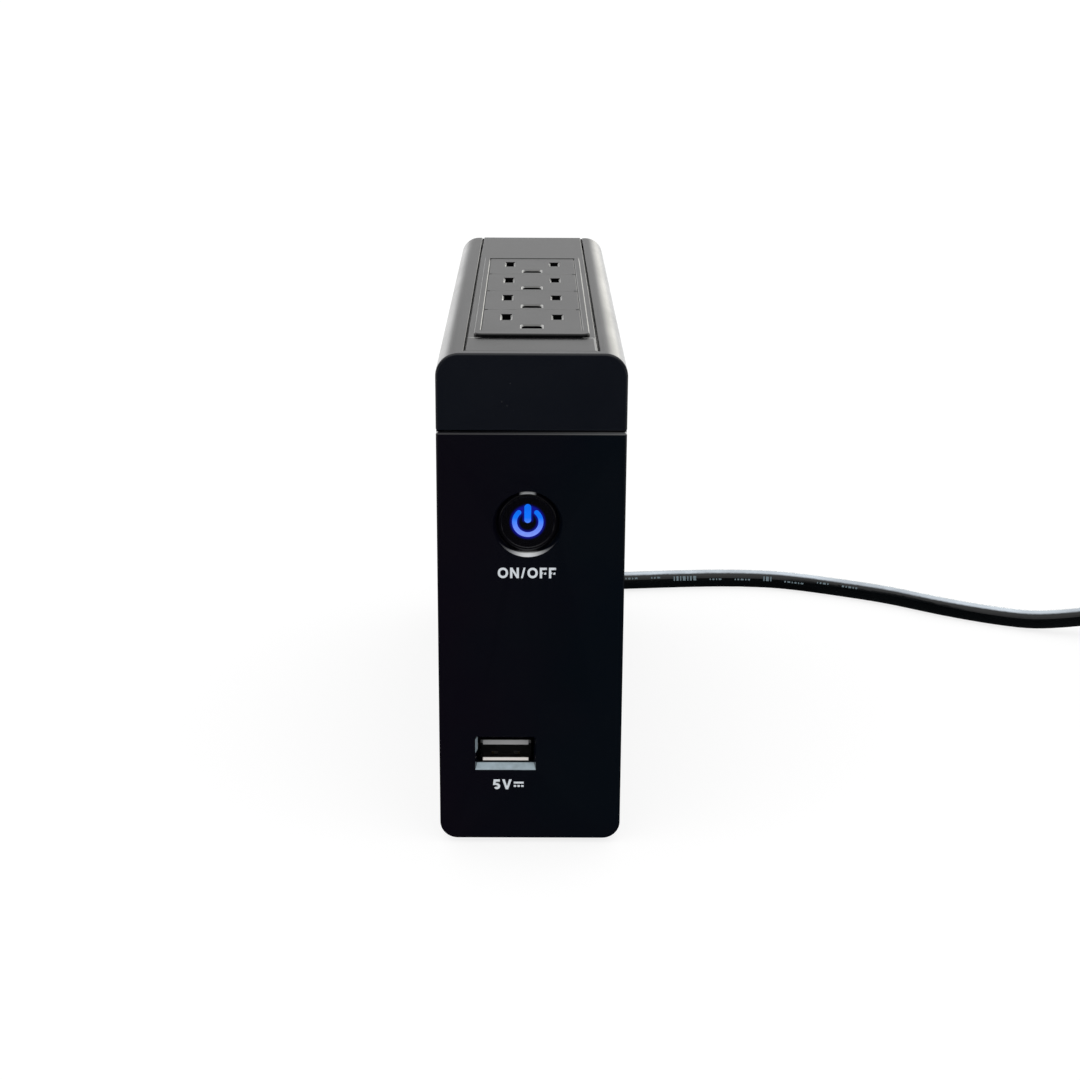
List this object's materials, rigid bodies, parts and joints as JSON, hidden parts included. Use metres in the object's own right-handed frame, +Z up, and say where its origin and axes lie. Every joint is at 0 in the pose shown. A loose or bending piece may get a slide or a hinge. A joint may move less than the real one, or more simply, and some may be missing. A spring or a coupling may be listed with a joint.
{
  "type": "uninterruptible power supply",
  "caption": "Slim upright battery backup unit with a row of grounded outlets along the top, a lit power button and a USB charging port on the front, and a mains cord with plug.",
  "frame": {"origin": "centre of the case's footprint on the table plane that the rubber feet stand on", "axes": "+Z up, the front face with the power button faces -Y, +X to the right seen from the front"},
  "size_m": [0.2391, 0.1998, 0.1243],
  "materials": {
    "case_black": "satin black moulded plastic",
    "panel_black": "semi-gloss black front moulding",
    "foot_rubber": "matte rubber",
    "outlet_black": "fine satin black",
    "inner_plastic": "moulded dark grey",
    "brass": "stamped, bright",
    "button_black": "gloss black",
    "symbol_blue": "back-lit translucent",
    "spring_steel": "spring wire",
    "chip_black": "epoxy",
    "connector_white": "nylon",
    "lamp_blue": "clear blue epoxy lamp",
    "board_green": "solder mask",
    "usb_steel": "stamped, bright",
    "usb_white": "light grey",
    "laminations": "varnished laminations",
    "copper": "enamelled copper",
    "can_sleeve": "shrink sleeve over an aluminium can",
    "heat_sink_metal": "extruded",
    "relay_case": "moulded",
    "fuse_glass": "clear tube",
    "ferrite": "coated ferrite",
    "film_yellow": "boxed film",
    "cell_sleeve": "shrink sleeve",
    "nickel": "nickel plated strip",
    "breaker_black": "phenolic",
    "reset_grey": "moulded",
    "plug_pvc": "moulded flexible plastic",
    "cord_pvc": "glossy black flexible jacket",
    "black_screw": "black oxide",
    "steel": "zinc plated",
    "wire_black": "insulated wire",
    "wire_white": "insulated wire",
    "wire_green": "insulated wire",
    "wire_red": "insulated wire"
  },
  "bodies": {
    "case": {"left_cover": "case_black", "right_cover": "case_black", "top_strip": "case_black", "base_strip": "case_black", "front_bezel_upper": "panel_black", "front_panel": "panel_black", "rear_panel": "case_black", "rubber_feet": "foot_rubber", "outlet_housing": "outlet_black", "outlet_face": "outlet_black", "outlet_base": "inner_plastic", "neutral_bus": "brass", "line_bus": "brass", "earth_bus": "brass", "button_spring": "spring_steel", "power_switch_body": "chip_black", "status_lamps": "lamp_blue", "front_board": "board_green", "usb_shell": "usb_steel", "usb_tongue": "usb_white", "usb_contacts": "brass", "main_board": "board_green", "transformer_core": "laminations", "transformer_winding": "copper", "bulk_capacitors": "can_sleeve", "heat_sink": "heat_sink_metal", "power_transistors": "chip_black", "transfer_relay": "relay_case", "mains_fuse": "fuse_glass", "fuse_clips": "brass", "choke_core": "ferrite", "choke_winding": "copper", "film_capacitors": "film_yellow", "controller_chip": "chip_black", "board_connectors": "connector_white", "battery_cells": "cell_sleeve", "battery_holder_front": "inner_plastic", "battery_holder_rear": "inner_plastic", "battery_tabs": "nickel", "battery_guard_board": "board_green", "breaker_body": "breaker_black", "breaker_nut": "nickel", "strain_relief": "plug_pvc", "power_cord": "cord_pvc", "plug_body": "plug_pvc", "plug_blades": "brass", "plug_earth_pin": "brass", "rear_screws": "black_screw", "base_screws": "black_screw", "board_screws": "steel", "front_board_screws": "steel", "outlet_screws": "steel", "line_leads": "wire_black", "neutral_leads": "wire_white", "earth_leads": "wire_green", "battery_leads": "wire_red"},
    "power_button": {"power_button_cap": "button_black", "power_symbol_lens": "symbol_blue"},
    "switch_plunger": {"power_switch_plunger": "connector_white"},
    "reset_button": {"breaker_button": "reset_grey"}
  },
  "joints": [
    {"name": "power_button_press", "type": "slide", "parent": "case", "child": "power_button", "axis": [0, 1, 0], "range_m": [0, 0.0015], "deforming": ["button_spring"]},
    {"name": "switch_plunger_slide", "type": "slide", "parent": "case", "child": "switch_plunger", "axis": [0, 1, 0], "range_m": [0, 0.0015]},
    {"name": "breaker_reset", "type": "slide", "parent": "case", "child": "reset_button", "axis": [0, 1, 0], "range_m": [0, 0.003]}
  ],
  "couplings": [
    {"joint": "switch_plunger_slide", "follows": "power_button_press", "ratio": 1}
  ]
}
